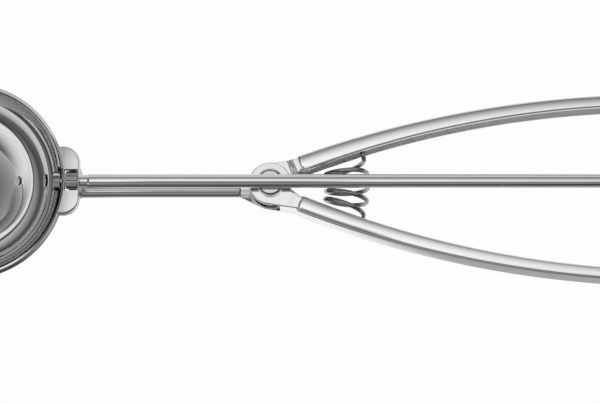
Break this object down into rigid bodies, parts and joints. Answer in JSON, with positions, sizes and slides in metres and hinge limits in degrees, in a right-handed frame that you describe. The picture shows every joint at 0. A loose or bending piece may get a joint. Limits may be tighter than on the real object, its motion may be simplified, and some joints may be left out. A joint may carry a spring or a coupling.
{
  "type": "ice cream scoop",
  "caption": "Squeeze-handled stainless ice cream scoop: round bowl with a sweeping scraper, geared to a lever on sprung handles.",
  "frame": {"origin": "on the handles' pivot axis, at the height of the bowl's lowest point, in the middle of the object's footprint", "axes": "+X along the frame rod towards the ends of the handles, +Y towards the upper handle of the picture, +Z out of the bowl's mouth"},
  "size_m": [0.2355, 0.0577, 0.0314],
  "materials": {
    "bowl_steel": "mirror polished stainless steel",
    "bracket_steel": "brushed stainless steel",
    "rod_steel": "polished drawn stainless rod",
    "rivet_steel": "turned and polished stainless steel",
    "spring_steel": "bright stainless spring wire",
    "handle_steel": "pressed and polished stainless sheet",
    "gear_steel": "machined stainless steel",
    "blade_steel": "fine brushed stainless steel"
  },
  "bodies": {
    "frame": {"bowl": "bowl_steel", "rack_bracket": "bracket_steel", "frame_rod": "rod_steel", "pivot_rivet": "rivet_steel", "pivot_spacer": "rivet_steel", "pivot_washer": "rivet_steel", "return_spring": "spring_steel"},
    "lower_handle": {"lower_handle": "handle_steel", "lever_rod": "rod_steel", "rack": "gear_steel"},
    "upper_handle": {"upper_handle": "handle_steel"},
    "scraper": {"pinion": "gear_steel", "scraper_spindle": "gear_steel", "scraper_hub": "blade_steel", "scraper_far_hub": "blade_steel", "scraper_far_pin": "rivet_steel", "scraper_blade": "blade_steel"}
  },
  "joints": [
    {"name": "lower_handle_squeeze", "type": "hinge", "parent": "frame", "child": "lower_handle", "pos_m": [0, 0, 0.0285], "axis": [0, 0, 1], "range_deg": [0, 6.65], "stiffness_Nm_per_rad": 1.2, "springref_deg": -6.88, "deforming": ["return_spring"]},
    {"name": "upper_handle_squeeze", "type": "hinge", "parent": "frame", "child": "upper_handle", "pos_m": [0, 0, 0.0285], "axis": [0, 0, -1], "range_deg": [0, 6.65], "stiffness_Nm_per_rad": 1.2, "springref_deg": -6.88, "deforming": ["return_spring"]},
    {"name": "scraper_sweep", "type": "hinge", "parent": "frame", "child": "scraper", "pos_m": [-0.088, 0, 0.0285], "axis": [1, 0, 0], "range_deg": [-160, 0]}
  ],
  "couplings": [
    {"joint": "scraper_sweep", "follows": "lower_handle_squeeze", "ratio": -24}
  ]
}
